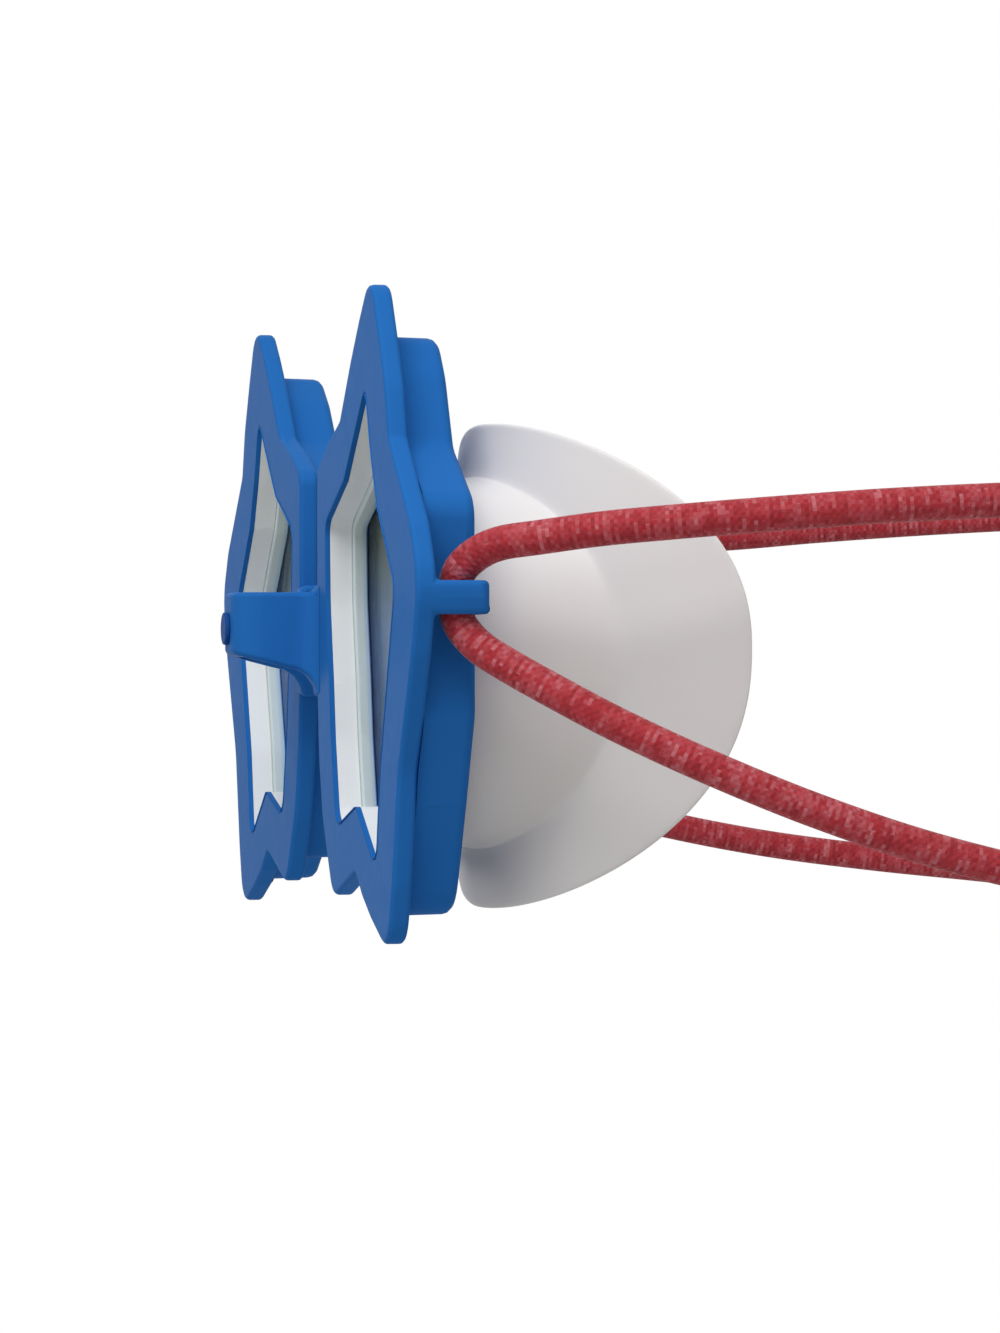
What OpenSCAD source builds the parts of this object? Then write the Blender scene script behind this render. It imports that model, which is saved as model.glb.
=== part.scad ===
// Swimming goggles with star shaped frames and a round elastic cord.
// Origin: middle of the face seal datum, between the eyes. +Y runs back round the head, +Z is up.
// Right and left are as seen from the front, looking along +Y, so the right half is at +X.

/* [Star plates] */
// Width of one star plate
star_w = 61.6; // [58:0.1:65]
// Height of one star plate
star_h = 74.2; // [71:0.1:78]
// Gap between the two plates, over the nose
nose_gap = 11.6; // [10:0.2:15]
// Thickness of the star plate
plate_t = 2.3; // [2:0.1:3]
// Distance from the face seal datum forward to the plates' front
face_depth = 12.35; // [11.5:0.05:13.5]

/* [Window] */
// Rim between the plate's nasal edge and its window
rim_nasal = 6.1; // [5.5:0.1:7]
// Rim between the window and the plate's temple tip
rim_temple = 12.7; // [12:0.1:14]
// Rim between the window and the plate's top tip
rim_top = 11.7; // [11:0.1:13]
// Rim between the window and the plate's lowest tip
rim_bottom = 8.5; // [8:0.1:10]
// Blue lip in front of the liner
lip_t = 0.5; // [0.4:0.1:0.8]
// Wall of the window liner
liner_wall = 1.2; // [0.8:0.1:1.5]
// Length of the window liner from front to back
liner_l = 2.8; // [2.4:0.1:3.5]
// Thickness of the lens seal
seal_t = 1.7; // [1.2:0.1:2]
// How far the lens seal stands in from the window's edge
seal_step = 0.8; // [0.4:0.1:1.2]
// Thickness of the lens
lens_t = 1.4; // [1.2:0.1:1.8]
// Clearance round what sits in the housing
fit_gap = 0.1; // [0.05:0.05:0.2]

/* [Rear housing] */
// Step in from the plate's nasal edge
housing_nasal = 2.2; // [1.8:0.1:2.6]
// Step in from the plate's temple tip
housing_temple = 7.8; // [7.4:0.1:8.4]
// Step down from the plate's top tip
housing_top = 5.6; // [5:0.1:7]
// Step up from the plate's lowest tip
housing_bottom = 2.8; // [2.4:0.1:3.6]
// Thickness of the housing's rear wall
rear_wall_t = 1.1; // [1:0.1:1.5]
// Fillet where the housing meets the plate
housing_fillet = 0.7; // [0.3:0.1:0.8]
// Rounding of the housing's rear edge
housing_round = 1.2; // [0.8:0.1:1.5]
// Diameter of the snap pins
pin_d = 1.5; // [1:0.1:1.8]
// Depth that a snap pin reaches into the plate
pin_in_plate = 1; // [0.6:0.1:1.2]
// Depth that a snap pin reaches into the housing
pin_in_housing = 3; // [2:0.1:4]

/* [Eye cup] */
// Width of the cup where it leaves the housing
cup_w = 34; // [32:0.5:36]
// Height of the cup where it leaves the housing
cup_h = 41.4; // [39:0.2:43]
// Offset of the cup from the window's middle towards the temple
cup_shift = 4.45; // [3:0.05:6]
// Drop of the cup below the window's middle
cup_drop = 4.2; // [3:0.1:5]
// Wall of the cup
cup_wall = 1.4; // [1:0.1:1.8]
// Growth of the cup from the housing to its neck, on each side
cup_flare = 0.7; // [0.2:0.1:1.5]
// Thickness of the flange that the lens clamps
clamp_t = 0.9; // [0.6:0.1:1.4]
// Width of the face flange's rim
rim_w = 50.4; // [47:0.1:53]
// Height of the face flange's rim above its widest level
rim_up = 25.9; // [24:0.1:28]
// Depth of the face flange's rim below its widest level
rim_down = 29.85; // [28:0.05:32]
// Thickness of the face flange at its rim
rim_t = 0.6; // [0.4:0.1:1]
// Thickness of the face flange at the neck
neck_t = 1.2; // [0.8:0.1:1.6]
// Least depth of the seal surface behind the plates' front
seal_depth = 13.15; // [12.6:0.05:14]
// Radius at which the seal surface starts to turn back towards the temple
temple_bend = 18.2; // [16:0.2:25]
// Radius at which the seal surface starts to turn back towards the nose
nasal_bend = 33; // [25:1:50]
// Offset of the seal surface's foremost line from the cup's middle towards the nose
seal_shift = 4.8; // [3:0.1:6]
// Shift of the face flange's middle towards the temple
rim_shift = 0.7; // [0:0.05:2]
// Height of the face flange's widest level above the cup's middle
rim_lift = 1.6; // [0:0.1:3]

/* [Nose bridge] */
// Reach of the bridge in front of the plates
bridge_out = 10; // [9:0.1:12]
// Thickness of the bridge
bridge_t = 2; // [1.5:0.1:2.5]
// Height of the bridge's upper edge
bridge_top = 2.8; // [2:0.1:4]
// Depth of the bridge's lower edge at its front
bridge_low = 4.45; // [4:0.05:6]
// Further depth of the lower edge at the plates
bridge_drop = 1.9; // [1:0.1:4]
// Spread of the bridge's roots up the nasal wall
flare_up = 1; // [0.5:0.1:2]
// Spread of the bridge's roots down the nasal wall
flare_down = 3.6; // [2:0.1:4]
// Rounding of the bridge's front corners
bridge_corner = 3.6; // [2.6:0.1:4]
// Fillet of the roots on the plates' front
root_fillet = 2.5; // [1.5:0.1:3]
// Width of the plain pad on the bridge
pad_w = 4.2; // [3:0.1:4.6]
// Height of the plain pad on the bridge
pad_h = 4; // [3:0.1:4.6]
// Thickness of the plain pad
pad_t = 0.6; // [0.4:0.1:1]
// Drop of the pad's middle below the middle of the plates
pad_drop = 1.6; // [0.5:0.1:2.4]

/* [Strap eyelet] */
// Height of the eyelet's middle
lug_z = 1.3; // [0:0.1:3]
// Height of the eyelet strip
lug_h = 3.7; // [3:0.1:4.5]
// Thickness of the eyelet strip
lug_t = 1.8; // [1.5:0.1:2.2]
// Reach of the eyelet behind the plates' front
lug_reach = 8.4; // [8:0.1:8.8]
// Length of the tab that lies in the housing's rear edge
lug_tab = 2.4; // [1.5:0.1:2.6]
// Thickness of the tab
lug_tab_t = 1; // [0.8:0.1:1]

/* [Strap] */
// Diameter of the elastic cord
cord_d = 3.8; // [3.2:0.1:3.9]

/* [Cord lock] */
// Outer diameter of the cord lock
lock_d = 12; // [11:0.1:14]
// Spacing of the two cords in the lock
cord_pitch = 5.8; // [5.6:0.1:6.2]
// Clearance of a cord in the lock's holes
cord_gap = 0.4; // [0.3:0.1:0.6]
// Diameter of the plunger
plunger_d = 8; // [7.6:0.1:8.4]
// Travel of the button
button_travel = 3.2; // [2.5:0.1:3.5]
// Diameter of the button's head
button_d = 10.4; // [9:0.1:11.5]
// Height of the button's head
button_h = 2.8; // [2:0.1:4]
// Web below the plunger's slot
plunger_web = 1.4; // [1:0.1:2]
// Length of the spring at rest
spring_l = 6.5; // [6.2:0.1:8]
// Wire of the spring
spring_wire = 0.7; // [0.5:0.1:0.8]
// Turns of the spring
spring_turns = 4; // [3:0.5:4]
// Floor of the lock, and wall above its upper hole
lock_wall = 1.3; // [1:0.1:2]
// Rounding of the lock's and the button's edges
lock_round = 1.2; // [0.6:0.1:1.4]
// Diameter of a cord end
end_d = 7.4; // [6.5:0.1:9]
// Length of a cord end
end_l = 12; // [10:0.5:16]
// Rounding of a cord end
end_round = 2; // [1:0.1:2.6]
// Depth of the cord's seat in its end
end_seat = 7; // [5:0.5:8]

/* [Hidden] */

blue = "#2466ae";
silicone = "#e6e8e8";
smoke = "#9fb0b4";
red = "#b4202c";
plastic = "#1c4f94";
steel = "silver";

// Depths behind the plates' front, from front to back
liner_end = lip_t + liner_l;
lens_front = liner_end + seal_t;
lens_back = lens_front + lens_t;
clamp_end = lens_back + clamp_t;
housing_end = clamp_end + rear_wall_t;

// Sides of the star, its window and its housing on the +X half
star_nasal = nose_gap / 2;
star_temple = star_nasal + star_w;
window_nasal = star_nasal + rim_nasal;
window_w = star_w - rim_nasal - rim_temple;
window_low = rim_bottom - star_h / 2;
window_h = star_h - rim_top - rim_bottom;
housing_side = star_nasal + housing_nasal;
housing_w = star_w - housing_nasal - housing_temple;
housing_low = housing_bottom - star_h / 2;
housing_h = star_h - housing_top - housing_bottom;

// Middle of the window and of the cup
window_mid_x = window_nasal + window_w / 2;
window_mid_z = window_low + window_h / 2;
cup_x = window_mid_x + cup_shift;
cup_z = window_mid_z - cup_drop;

// Corners as share across, share up and radius, round each outline from its top tip by way of the nose.
// The radii are percent of the star's height.
star_corners = [
    [0.563, 1.027, 7.3], [0.448, 0.958, 16], [0.365, 0.9015, 16], [0.247, 0.81, 2.4],
    [0.1265, 0.7815, 10.7], [0, 0.74, 3.3], [0, 0.392, 16], [0.021, 0.267, 18.7],
    [0.06, 0.1685, 16], [0.172, 0.042, 5.3], [0.412, 0.093, 2.7], [0.477, 0.058, 10.7],
    [0.565, 0.027, 18.7], [0.734, -0.019, 6.9], [0.7825, 0.0875, 18.7], [0.836, 0.2575, 13.3],
    [0.9595, 0.434, 16], [1.0145, 0.5445, 8], [0.943, 0.628, 8], [0.7435, 0.7615, 2.1],
    [0.711, 0.841, 13.3], [0.651, 0.9205, 16]];
window_corners = [
    [0.6, 1.009, 2], [0.29, 0.8185, 3.2], [0, 0.733, 2.9], [0.0125, 0.557, 18.7],
    [0.065, 0.3815, 18.7], [0.095, 0.252, 16], [0.168, 0.061, 4], [0.464, 0.115, 3.2],
    [0.755, -0.011, 2.9], [0.815, 0.2055, 18.7], [1.01, 0.58, 4], [0.765, 0.752, 3.2],
    [0.68, 0.863, 16]];
housing_corners = [
    [0.588, 1.02, 6.7], [0.4365, 0.948, 10.7], [0.319, 0.862, 4], [0, 0.759, 5.3],
    [0, 0.364, 16], [0.077, 0.152, 13.3], [0.2077, 0.052, 5.3], [0.442, 0.085, 6.7],
    [0.63, 0.0015, 8], [0.794, -0.003, 8], [0.917, 0.19, 13.3], [1.004, 0.341, 6.7],
    [1, 0.707, 5.3], [0.777, 0.807, 5.3], [0.692, 0.932, 10.7]];
corner_steps = 6;

// Places of the snap pins: a corner of the window and the housing corner beside it
pin_places = [[0, 0], [2, 3], [6, 6], [8, 9], [10, 12]];

// Route of the cord from the eyelet round the back of the head, seen on the +X half
upper_side = [
    [63.25, -7.1, 1.45], [63.25, -7.1, 2.6], [63.7, -6.65, 4.4], [64.8, -5, 6.1], [66.3, -2.7, 7.2],
    [68.5, 1.1, 7.8], [71.7, 7.5, 8.7], [74.8, 15, 9.4], [77.2, 24.5, 10.2], [78.9, 36.5, 11.1],
    [79.3, 49, 11.8], [78.6, 62, 12.3], [76.6, 76, 13.5], [73, 90, 14.5], [67.5, 105, 15.3],
    [60.5, 120, 16], [51, 135, 16.7], [39, 148.5, 17.3], [26, 158, 17.7], [12.5, 163, 17.9]];
upper_middle = [[0, 164.5, 18]];
lower_side = [
    [63.25, -7.1, 1.45], [63.25, -7.1, 0.3], [63.6, -6.7, -1.6], [64.7, -5.1, -3.8], [66.3, -2.8, -5.6],
    [69, 2, -8.6], [72.4, 9, -12.6], [75.7, 18, -17], [78, 29, -21.6], [79.2, 41, -25.7],
    [79.2, 54, -29], [77.9, 68.5, -31.8], [75, 83.5, -33.8], [70.8, 98, -35.3]];
right_back = [
    [64, 113, -36], [56, 128, -36.2], [46, 141.5, -36], [34, 153, -35.6], [23, 160.7, -35],
    [14, 163.7, -34.65], [7, 164, -34.6], [-7, 164, -34.6], [-14, 164, -34.6]];
right_tail = [
    [-18, 164.5, -34.9], [-21.6, 166.3, -37], [-23.6, 168.4, -41], [-24.2, 169.8, -47],
    [-24.2, 170.3, -56], [-24.2, 170.3, -66]];
left_back = [
    [64, 113, -36.9], [56, 128, -38], [46, 141.5, -38.9], [34, 153, -39.7], [23, 160.7, -40.2],
    [14, 163.7, -40.4], [7, 164, -40.4], [-7, 164, -40.4], [-14, 164, -40.4]];
left_tail = [
    [-18, 164.4, -41.2], [-21.4, 165.6, -44], [-23, 166.8, -49], [-23.4, 167.3, -57],
    [-23.4, 167.3, -68]];
lock_place = [0, 164, -37.5];
cord_sides = 8;

// Levels in the cord lock, measured from its middle
slot_low = -cord_pitch / 2 - cord_d / 2 - 0.05;
slot_top = cord_pitch / 2 + cord_d / 2 + button_travel + 0.2;
plunger_low = slot_low - plunger_web;
spring_low = plunger_low - spring_l;
lock_low = spring_low - lock_wall;
lock_top = cord_pitch / 2 + cord_d / 2 + lock_wall + lock_round;
head_low = lock_top + button_travel + 0.3;
head_top = head_low + button_h;
plunger_gap = 0.15;

function y_at(depth) = depth - face_depth;
function unit(v) = v / norm(v);
function turned(v) = [v[1], -v[0]];
function at(list, i) = list[(i + len(list)) % len(list)];
function flat(lists) = [for (l = lists) each l];
function back_to_front(list) = [for (i = [len(list) - 1:-1:0]) list[i]];
function over(list) = [for (p = list) [-p[0], p[1]]];
function mirrored(list) = [for (p = list) [-p[0], p[1], p[2]]];
function mix(a, b, t) = a * (1 - t) + b * t;

// An outline's corners at their real place, with their radii
function placed(corners, x, z, w, h) =
    [for (c = corners) [x + c[0] * w, z + c[1] * h, c[2] / 100 * star_h]];

// The same corners moved outwards by a distance, inwards where it is negative
function grown(corners, distance) = [for (i = [0:len(corners) - 1])
    let (
        p = [at(corners, i)[0], at(corners, i)[1]],
        before = [at(corners, i - 1)[0], at(corners, i - 1)[1]],
        after = [at(corners, i + 1)[0], at(corners, i + 1)[1]],
        n1 = turned(unit(p - before)),
        n2 = turned(unit(after - p)),
        moved = p + (n1 + n2) * distance / (1 + n1 * n2),
        bulge = cross(p - before, after - p) > 0 ? 1 : -1)
    [moved[0], moved[1], max(0.15, at(corners, i)[2] + bulge * distance)]];

// An outline with an arc at every corner
function rounded(corners) = flat([for (i = [0:len(corners) - 1])
    let (
        p = [at(corners, i)[0], at(corners, i)[1]],
        to_before = [at(corners, i - 1)[0], at(corners, i - 1)[1]] - p,
        to_after = [at(corners, i + 1)[0], at(corners, i + 1)[1]] - p,
        u = unit(to_before),
        v = unit(to_after),
        half = acos(max(-1, min(1, u * v))) / 2,
        reach = min(at(corners, i)[2] / tan(half), 0.47 * min(norm(to_before), norm(to_after))),
        radius = reach * tan(half),
        centre = p + unit(u + v) * radius / sin(half),
        start = p + u * reach - centre,
        stop = p + v * reach - centre,
        first = atan2(start[1], start[0]),
        sweep = (atan2(stop[1], stop[0]) - first + 540) % 360 - 180)
    [for (k = [0:corner_steps])
        centre + radius * [cos(first + sweep * k / corner_steps), sin(first + sweep * k / corner_steps)]]]);

star_at = placed(star_corners, star_nasal, -star_h / 2, star_w, star_h);
window_at = placed(window_corners, window_nasal, window_low, window_w, window_h);
housing_at = placed(housing_corners, housing_side, housing_low, housing_w, housing_h);

// An oval near an ellipse, as [x, z] points. It reaches up and down by its own amount.
// A power over 2 fills its corners out, on the temple side and on the nose side.
oval_steps = 48;
cup_power = 2.2;
rim_temple_power = 2.3;
rim_nose_power = 1.9;
function bend(c, power) = sign(c) * pow(abs(c), 2 / power);
function oval(x, z, w, up, down, temple_power, nose_power) = [for (i = [0:oval_steps - 1])
    let (
        a = 360 * i / oval_steps,
        power = cos(a) > 0 ? temple_power : nose_power,
        rise = bend(sin(a), power))
    [x + bend(cos(a), power) * w / 2, z + rise * (rise > 0 ? up : down)]];
function cup_oval(w, h) = oval(cup_x, cup_z, w, h / 2, h / 2, cup_power, cup_power);
function cup(grow) = cup_oval(cup_w + 2 * grow, cup_h + 2 * grow);

// Y of the seal surface that lies on the face
seal_x = cup_x - seal_shift;
function seal_y(x) = y_at(seal_depth)
    + (x - seal_x) * (x - seal_x) / 2 / (x > seal_x ? temple_bend : nasal_bend);

// A flat piece with an outline in X and Z, between two depths
module slab(points, from, to)
    translate([0, y_at(to), 0])
        rotate([90, 0, 0])
            linear_extrude(to - from)
                polygon(points);

// A skin over rings of equal count, capped at both ends or closed into a loop
module skin(rings, loop = false) {
    n = len(rings[0]);
    count = len(rings);
    spans = loop ? count : count - 1;
    sides = [for (r = [0:spans - 1]) for (i = [0:n - 1])
        let (
            a = r * n + i,
            b = r * n + (i + 1) % n,
            c = ((r + 1) % count) * n + i,
            d = ((r + 1) % count) * n + (i + 1) % n)
        each [[a, b, c], [b, d, c]]];
    caps = loop ? [] : [[for (i = [n - 1:-1:0]) i], [for (i = [0:n - 1]) (count - 1) * n + i]];
    polyhedron(points = flat(rings), faces = concat(sides, caps), convexity = 8);
}

// A ring of a skin: an outline in X and Z at one depth
function ring_at(points, depth) = [for (p = points) [p[0], y_at(depth), p[1]]];

// Unit vectors across a route, carried along it without twist
function way(route, i) = i == 0 ? unit(route[1] - route[0])
    : i == len(route) - 1 ? unit(route[i] - route[i - 1])
    : unit(unit(route[i] - route[i - 1]) + unit(route[i + 1] - route[i]));
function across(route, i, last) =
    let (side = unit(last - (last * way(route, i)) * way(route, i)))
    i == len(route) - 1 ? [side] : concat([side], across(route, i + 1, side));

// A round tube along a route
module tube(route, d, sides, start = [0, 1, 0]) {
    normals = across(route, 0, start);
    skin([for (i = [0:len(route) - 1])
        let (u = normals[i], v = cross(way(route, i), u))
        [for (k = [0:sides - 1])
            let (a = -360 * (k + 0.5) / sides)
            route[i] + d / 2 * (cos(a) * u + sin(a) * v)]]);
}

module left_hand() mirror([1, 0, 0]) children();

module star_frame() color(blue) {
    difference() {
        slab(rounded(star_at), 0, plate_t);
        slab(rounded(window_at), -1, lip_t + 1);
        slab(rounded(grown(window_at, liner_wall + fit_gap)), lip_t, plate_t + 1);
        for (p = pin_spots()) pin_hole(p, plate_t - pin_in_plate, plate_t + 1);
    }
    eyelet();
}

// Strip behind the temple tip that holds the cord, with a tab that reaches back to the housing.
// Its outer side carries on the plate's own edge, so its plan reaches a little past the tip.
tab_front = lug_reach - lug_tab_t;
tab_end = star_temple - housing_temple - lug_tab;
module eyelet() {
    outer = star_temple + 0.1;
    inner = star_temple - lug_t;
    corner = lug_t * 0.8;
    front = plate_t / 2;
    plan = concat(
        [[inner, y_at(front)], [outer, y_at(front)]],
        [for (a = [0:22.5:90])
            [outer - corner + corner * cos(a), y_at(lug_reach) - corner + corner * sin(a)]],
        [[tab_end, y_at(lug_reach)], [tab_end, y_at(tab_front)], [inner, y_at(tab_front)]]);
    intersection() {
        slab(rounded(star_at), front, lug_reach);
        translate([0, 0, lug_z - lug_h / 2])
            linear_extrude(lug_h)
                polygon(plan);
    }
}

// Notch in the housing's rear edge for the eyelet's tab
module tab_notch()
    translate([tab_end - fit_gap, y_at(tab_front - fit_gap), lug_z - lug_h / 2 - fit_gap])
        cube([housing_temple + lug_tab, lug_reach, lug_h + 2 * fit_gap]);

function pin_spots() = [for (pair = pin_places)
    let (w = window_at[pair[0]], h = housing_at[pair[1]])
    [mix(w[0], h[0], 0.52), mix(w[1], h[1], 0.52)]];

module pin_hole(spot, from, to)
    translate([spot[0], y_at(to), spot[1]])
        rotate([90, 0, 0])
            cylinder(h = to - from, d = pin_d + fit_gap, $fn = 24);

module snap_pins() color(plastic)
    for (p = pin_spots())
        translate([p[0], y_at(plate_t + pin_in_housing), p[1]])
            rotate([90, 0, 0])
                cylinder(h = pin_in_plate + pin_in_housing, d = pin_d, $fn = 24);

// Its edge is a skin with a fillet in front and a round behind, and a plain slab fills the middle
module rear_housing() color(blue) {
    straight = housing_end - housing_round;
    core = grown(housing_at, -housing_round - 0.6);
    rings = concat(
        [ring_at(rounded(core), plate_t)],
        [for (k = [0:2]) ring_at(
            rounded(grown(housing_at, housing_fillet * (1 - sin(30 * k)))),
            plate_t + housing_fillet * (1 - cos(30 * k)))],
        [for (k = [0:3]) ring_at(
            rounded(grown(housing_at, -housing_round * (1 - cos(30 * k)))),
            straight + housing_round * sin(30 * k))],
        [ring_at(rounded(core), housing_end)]);
    difference() {
        union() {
            skin(rings, loop = true);
            slab(rounded(grown(core, 0.2)), plate_t, housing_end);
        }
        slab(rounded(grown(window_at, liner_wall + fit_gap)), plate_t - 1, clamp_end);
        slab(cup(fit_gap), lens_back, housing_end + 1);
        for (p = pin_spots()) pin_hole(p, plate_t - 1, plate_t + pin_in_housing);
        tab_notch();
    }
}

module window_liner() color(silicone)
    difference() {
        slab(rounded(grown(window_at, liner_wall)), lip_t, liner_end);
        slab(rounded(window_at), lip_t - 1, liner_end + 1);
    }

module lens_seal() color(silicone)
    difference() {
        slab(rounded(grown(window_at, liner_wall)), liner_end, lens_front);
        slab(rounded(grown(window_at, -seal_step)), liner_end - 1, lens_front + 1);
    }

module lens() color(smoke, 0.5)
    slab(rounded(grown(window_at, liner_wall)), lens_front, lens_back);

// Outlines of the face flange: its rim, and the neck where the cup meets it
neck_w = cup_w + 2 * cup_flare;
neck_h = cup_h + 2 * cup_flare;
rim = oval(cup_x + rim_shift, cup_z + rim_lift, rim_w, rim_up, rim_down, rim_temple_power,
    rim_nose_power);
neck = cup_oval(neck_w, neck_h);
neck_inner = cup_oval(neck_w - 2 * cup_wall, neck_h - 2 * cup_wall);

// A ring between two outlines that lies on the seal surface, or just in front of it
function on_seal(a, b, t, lift) = [for (i = [0:oval_steps - 1])
    let (p = mix(a[i], b[i], t))
    [p[0], seal_y(p[0]) - lift, p[1]]];

// A ring between two outlines on the way back from a depth to the seal surface
function rise(a, b, depth, t) = [for (i = [0:oval_steps - 1])
    let (p = mix(a[i], b[i], t))
    [p[0], mix(y_at(depth), seal_y(b[i][0]) - neck_t, t), p[1]]];

// Cup wall, neck and face flange in one soft piece, clamped behind the lens
module face_gasket() color(silicone) {
    skin([
        ring_at(cup(0), lens_back),
        ring_at(cup(0), housing_end),
        rise(cup(0), neck, housing_end, 0.4),
        rise(cup(0), neck, housing_end, 0.8),
        on_seal(neck, rim, 0.12, neck_t),
        on_seal(neck, rim, 0.4, neck_t * 0.9),
        on_seal(neck, rim, 0.7, mix(neck_t, rim_t, 0.6)),
        on_seal(neck, rim, 0.97, rim_t),
        on_seal(neck, rim, 1, rim_t / 2),
        on_seal(neck, rim, 0.97, 0),
        on_seal(neck, rim, 0.6, 0),
        on_seal(neck, rim, 0.25, 0),
        on_seal(neck, rim, 0, neck_t * 0.3),
        rise(cup(-cup_wall), neck_inner, housing_end, 0.8),
        rise(cup(-cup_wall), neck_inner, housing_end, 0.4),
        ring_at(cup(-cup_wall), housing_end),
        ring_at(cup(-cup_wall), lens_back)], loop = true);
    difference() {
        slab(rounded(grown(window_at, liner_wall)), lens_back, clamp_end);
        slab(cup(-cup_wall / 2), lens_back - 1, clamp_end + 1);
    }
}

// Arch over the nose: its plan cut to the height of its side view
module nose_bridge() color(blue) {
    leg = star_nasal;
    front = y_at(-bridge_out);
    root = y_at(0);
    small = bridge_corner - bridge_t;
    outer = concat(
        [[leg, y_at(plate_t)], [leg, root], [leg + root_fillet, root]],
        [for (a = [67.5:-22.5:0])
            [leg + root_fillet * (1 - cos(a)), root - root_fillet * (1 - sin(a))]],
        [for (a = [0:22.5:90])
            [leg - bridge_corner * (1 - cos(a)), front + bridge_corner * (1 - sin(a))]]);
    inner = concat(
        [for (a = [90:-22.5:0])
            [leg - bridge_t - small * (1 - cos(a)), front + bridge_t + small * (1 - sin(a))]],
        [[leg - bridge_t, y_at(plate_t)]]);
    plan = concat(outer, back_to_front(over(outer)), back_to_front(over(inner)), inner);
    behind = y_at(plate_t) + 1;
    low = -bridge_low - bridge_drop;
    side_view = concat(
        [[front - 1, bridge_top]],
        [for (a = [0:22.5:90])
            [root - flare_up * (1 - sin(a)), bridge_top + flare_up * (1 - cos(a))]],
        [[behind, bridge_top + flare_up], [behind, low - flare_down]],
        [for (a = [90:-22.5:0])
            [root - flare_down * (1 - sin(a)), low - flare_down * (1 - cos(a))]],
        [[front - 1, -bridge_low]]);
    intersection() {
        translate([0, 0, -star_h / 2])
            linear_extrude(star_h)
                polygon(plan);
        translate([-star_w / 2, 0, 0])
            rotate([90, 0, 90])
                linear_extrude(star_w)
                    polygon(side_view);
    }
}

// Bare oval pad on the front of the bridge
module bridge_pad() color(plastic)
    translate([0, y_at(-bridge_out), -pad_drop])
        rotate([90, 0, 0])
            linear_extrude(pad_t)
                polygon([for (a = [0:10:350]) [pad_w / 2 * cos(a), pad_h / 2 * sin(a)]]);

module strap_upper() color(red)
    tube(concat(upper_side, upper_middle, back_to_front(mirrored(upper_side))), cord_d, cord_sides);

module strap_lower_right() color(red)
    tube(concat(lower_side, right_back, right_tail), cord_d, cord_sides);

module strap_lower_left() color(red)
    tube(mirrored(concat(lower_side, left_back, left_tail)), cord_d, cord_sides);

// A round bar on the Z axis with a quarter round at its low and its high edge
module turned_bar(radius, low, high, low_round, high_round)
    rotate_extrude($fn = 64)
        polygon(concat(
            [[0, low]],
            [for (a = [-90:22.5:0])
                [radius - low_round + low_round * cos(a), low + low_round + low_round * sin(a)]],
            [for (a = [0:22.5:90])
                [radius - high_round + high_round * cos(a), high - high_round + high_round * sin(a)]],
            [[0, high]]));

// Barrel with two cord holes, one above the other, and a well for the plunger
module cord_lock_body() color(plastic)
    translate(lock_place)
        difference() {
            turned_bar(lock_d / 2, lock_low, lock_top, lock_round, lock_round);
            translate([0, 0, spring_low])
                cylinder(h = lock_top - spring_low + 1, d = plunger_d + 2 * plunger_gap, $fn = 64);
            for (s = [-1, 1])
                translate([0, 0, s * cord_pitch / 2])
                    rotate([0, 90, 0])
                        cylinder(h = lock_d + 2, d = cord_d + cord_gap, center = true, $fn = 48);
        }

module cord_lock_button() color(plastic)
    translate(lock_place)
        difference() {
            union() {
                turned_bar(plunger_d / 2, plunger_low, head_low + lock_round, 0, 0);
                turned_bar(button_d / 2, head_low, head_top, lock_round / 3, lock_round);
            }
            translate([0, 0, (slot_low + slot_top) / 2])
                cube([plunger_d + 2, cord_d + cord_gap, slot_top - slot_low], center = true);
        }

// Middle of the spring's wire, from its foot up
spring_steps = 12;
spring_radius = plunger_d / 2 - spring_wire;
spring_route = [for (i = [0:spring_turns * spring_steps])
    let (a = 360 * i / spring_steps)
    [spring_radius * cos(a), spring_radius * sin(a),
     (spring_l - spring_wire) * i / (spring_turns * spring_steps)]];

// Least gap between a wound wire and itself, on points at least half a turn apart
function least_gap(route, d, apart) = min([for (i = [0:len(route) - 1 - apart])
    for (j = [i + apart:len(route) - 1]) norm(route[i] - route[j]) - d]);
echo(least_gap_of_the_spring = least_gap(spring_route, spring_wire, spring_steps / 2));

module cord_lock_spring() color(steel)
    translate(lock_place + [0, 0, spring_low + spring_wire / 2])
        tube(spring_route, spring_wire, 6, [1, 0, 0]);

// Turned bead with a blind seat for the cord's end
module cord_end(place) color(plastic)
    translate(place)
        difference() {
            turned_bar(end_d / 2, end_seat - end_l, end_seat, end_round, end_round / 2);
            cylinder(h = end_seat + 1, d = cord_d + fit_gap, $fn = 48);
        }

module cord_end_right() cord_end(right_tail[len(right_tail) - 1]);
module cord_end_left() cord_end(mirrored(left_tail)[len(left_tail) - 1]);

star_frame();  // right_star_frame
rear_housing();  // right_rear_housing
window_liner();  // right_window_liner
lens_seal();  // right_lens_seal
lens();  // right_lens
face_gasket();  // right_face_gasket
snap_pins();  // right_snap_pins
left_hand() star_frame();  // left_star_frame
left_hand() rear_housing();  // left_rear_housing
left_hand() window_liner();  // left_window_liner
left_hand() lens_seal();  // left_lens_seal
left_hand() lens();  // left_lens
left_hand() face_gasket();  // left_face_gasket
left_hand() snap_pins();  // left_snap_pins
nose_bridge();
bridge_pad();
strap_upper();
strap_lower_right();
strap_lower_left();
cord_lock_body();
cord_lock_button();
cord_lock_spring();
cord_end_right();
cord_end_left();
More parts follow.
